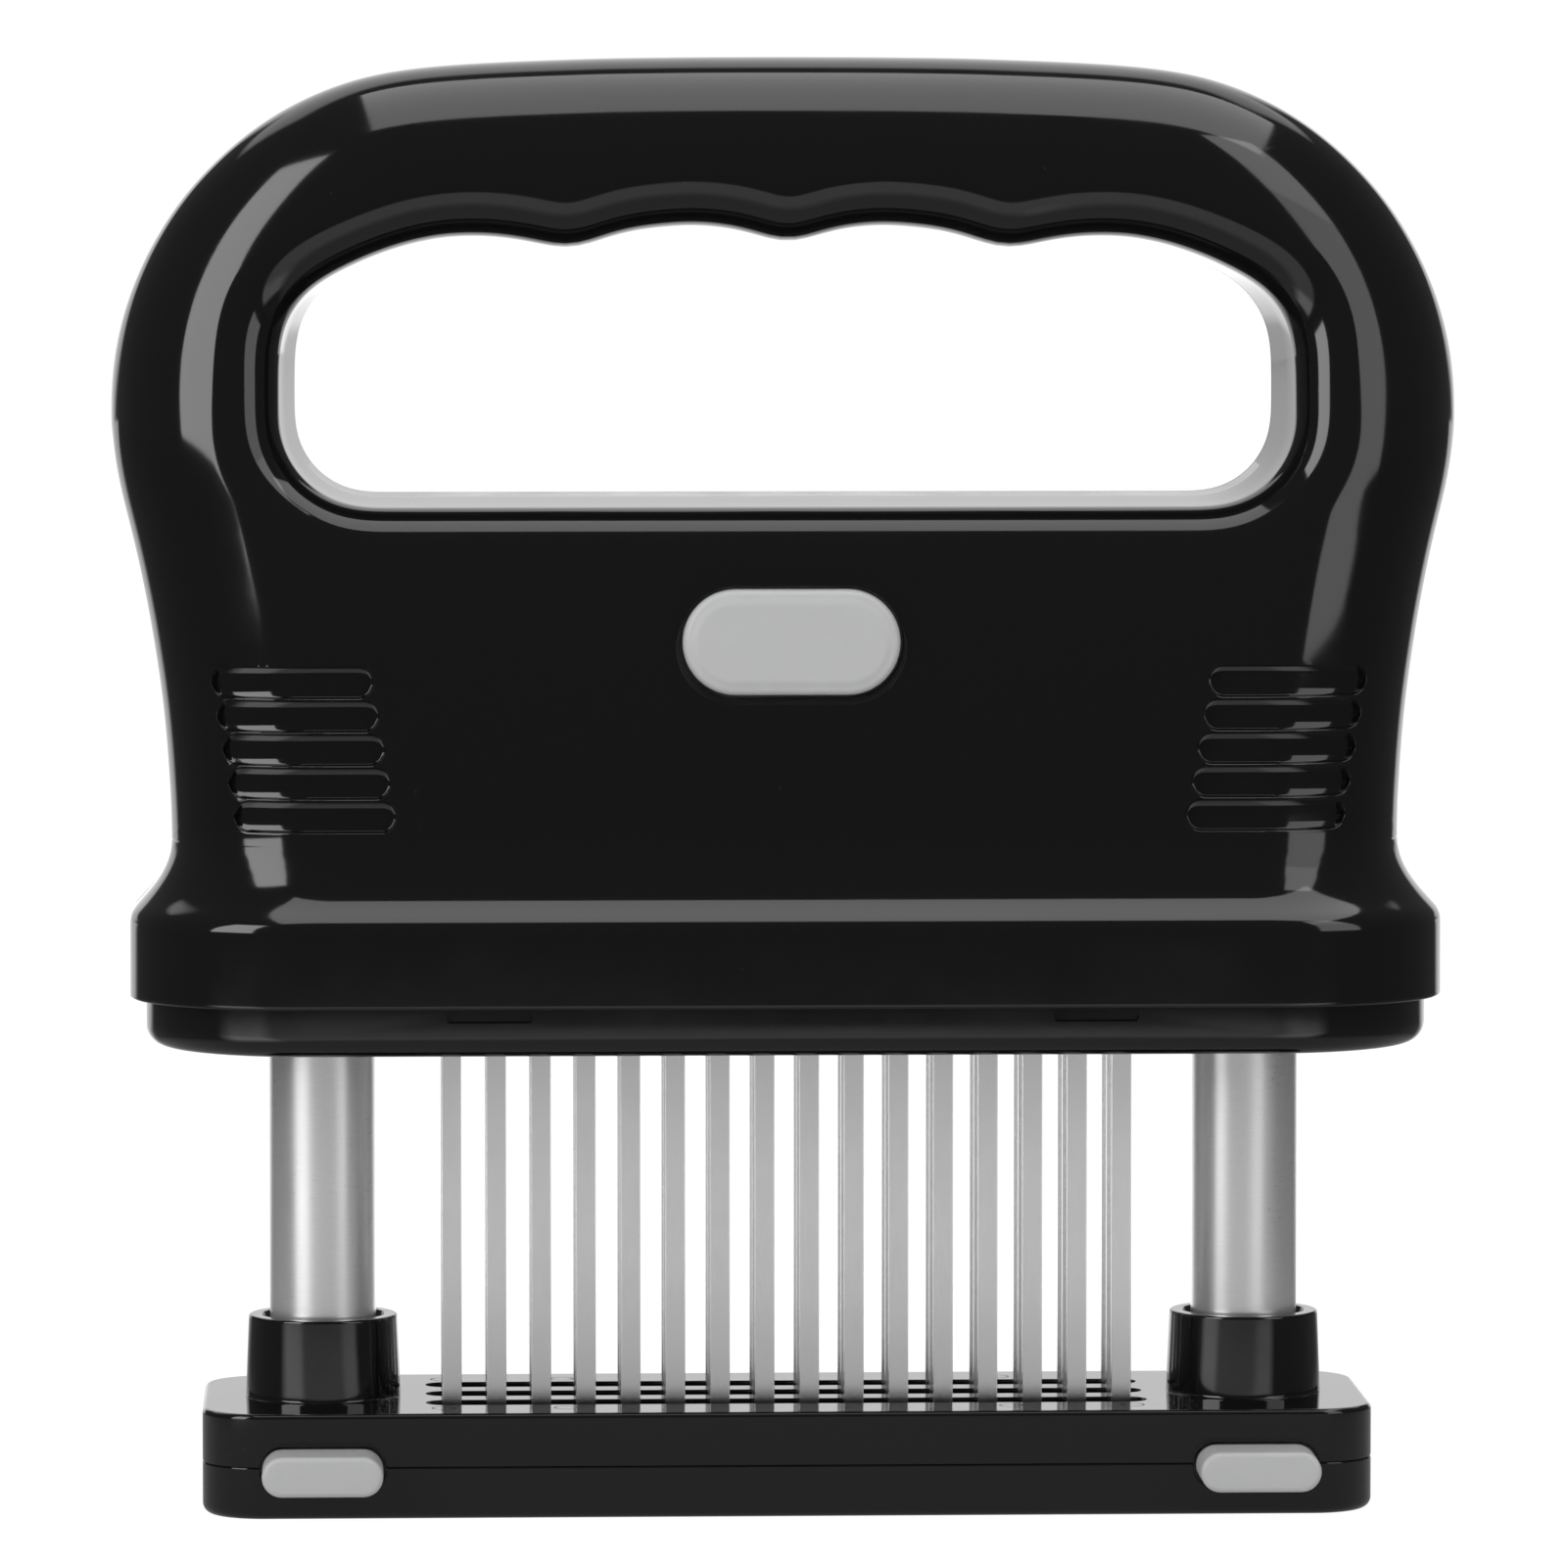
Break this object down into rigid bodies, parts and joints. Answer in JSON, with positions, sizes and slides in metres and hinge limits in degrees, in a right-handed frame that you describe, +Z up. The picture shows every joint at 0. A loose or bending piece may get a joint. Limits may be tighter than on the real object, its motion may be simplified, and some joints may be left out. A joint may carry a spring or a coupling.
{
  "type": "meat tenderizer",
  "caption": "Press-down blade tenderizer: D-shaped two-shell handle sliding on sprung steel rods over a slotted base plate, with a drop-out blade cartridge.",
  "frame": {"origin": "middle of the base plate's underside, on the surface it stands on", "axes": "+X to the right seen from the front, +Y from the front to the back, +Z up along the rods"},
  "size_m": [0.1516, 0.054, 0.163],
  "materials": {
    "black_gloss": "moulded gloss black",
    "grey_button": "fine matt light grey",
    "inner_plastic": "plain moulded dark grey",
    "bush_plastic": "natural self-lubricating plastic",
    "rod_steel": "ground along the turn, fine grain",
    "blade_steel": "cold-rolled with ground edges",
    "spring_steel": "bright wire and zinc screws"
  },
  "bodies": {
    "base": {"base_lower_shell": "black_gloss", "base_upper_shell": "black_gloss", "base_screw_front_left": "spring_steel", "base_screw_front_right": "spring_steel", "base_screw_back_left": "spring_steel", "base_screw_back_right": "spring_steel", "rod_clip_left": "spring_steel", "rod_clip_right": "spring_steel"},
    "rods": {"rod_left": "rod_steel", "rod_plug_left": "inner_plastic", "rod_stop_ring_left": "spring_steel", "main_spring_left": "spring_steel", "rod_right": "rod_steel", "rod_plug_right": "inner_plastic", "rod_stop_ring_right": "spring_steel", "main_spring_right": "spring_steel"},
    "handle": {"handle_front_shell": "black_gloss", "handle_back_shell": "black_gloss", "handle_bottom_cover": "black_gloss", "cover_screw_front_left": "spring_steel", "cover_screw_front_right": "spring_steel", "cover_screw_back_left": "spring_steel", "cover_screw_back_right": "spring_steel", "shell_screw_body_left": "spring_steel", "shell_screw_body_right": "spring_steel", "shell_screw_leg_left": "spring_steel", "shell_screw_leg_right": "spring_steel", "shell_screw_bar_left": "spring_steel", "shell_screw_bar_right": "spring_steel", "guide_bush_left": "bush_plastic", "guide_bush_right": "bush_plastic", "spring_guide_pin_left": "inner_plastic", "spring_guide_pin_right": "inner_plastic", "cartridge_catch": "spring_steel", "catch_screw": "spring_steel"},
    "cartridge": {"cartridge_block": "inner_plastic", "cartridge_clamp": "black_gloss", "clamp_screw_front_left": "spring_steel", "clamp_screw_front_right": "spring_steel", "clamp_screw_back_left": "spring_steel", "clamp_screw_back_right": "spring_steel", "blade_row_front": "blade_steel", "blade_row_middle": "blade_steel", "blade_row_rear": "blade_steel"},
    "release": {"release_button": "grey_button"},
    "base_button_l": {"base_button_left": "grey_button"},
    "base_button_r": {"base_button_right": "grey_button"}
  },
  "joints": [
    {"name": "base_release", "type": "slide", "parent": "base", "child": "rods", "axis": [0, 0, 1], "range_m": [0, 0.1]},
    {"name": "handle_press", "type": "slide", "parent": "rods", "child": "handle", "axis": [0, 0, 1], "range_m": [-0.03, 0], "stiffness_N_per_m": 1200, "springref_m": 0.016, "deforming": ["main_spring_left", "main_spring_right"]},
    {"name": "release_button_press", "type": "slide", "parent": "handle", "child": "release", "axis": [0, 1, 0], "range_m": [0, 0.0025], "stiffness_N_per_m": 400, "springref_m": -0.002, "deforming": ["cartridge_catch"]},
    {"name": "base_button_left_press", "type": "slide", "parent": "base", "child": "base_button_l", "axis": [0, 1, 0], "range_m": [0, 0.0022], "stiffness_N_per_m": 400, "springref_m": -0.002, "deforming": ["rod_clip_left"]},
    {"name": "base_button_right_press", "type": "slide", "parent": "base", "child": "base_button_r", "axis": [0, 1, 0], "range_m": [0, 0.0022], "stiffness_N_per_m": 400, "springref_m": -0.002, "deforming": ["rod_clip_right"]},
    {"name": "cartridge_drop", "type": "slide", "parent": "handle", "child": "cartridge", "axis": [0, 0, -1], "range_m": [0, 0.05]}
  ],
  "couplings": [
    {"joint": "cartridge_drop", "follows": "base_release", "ratio": 0.5}
  ]
}
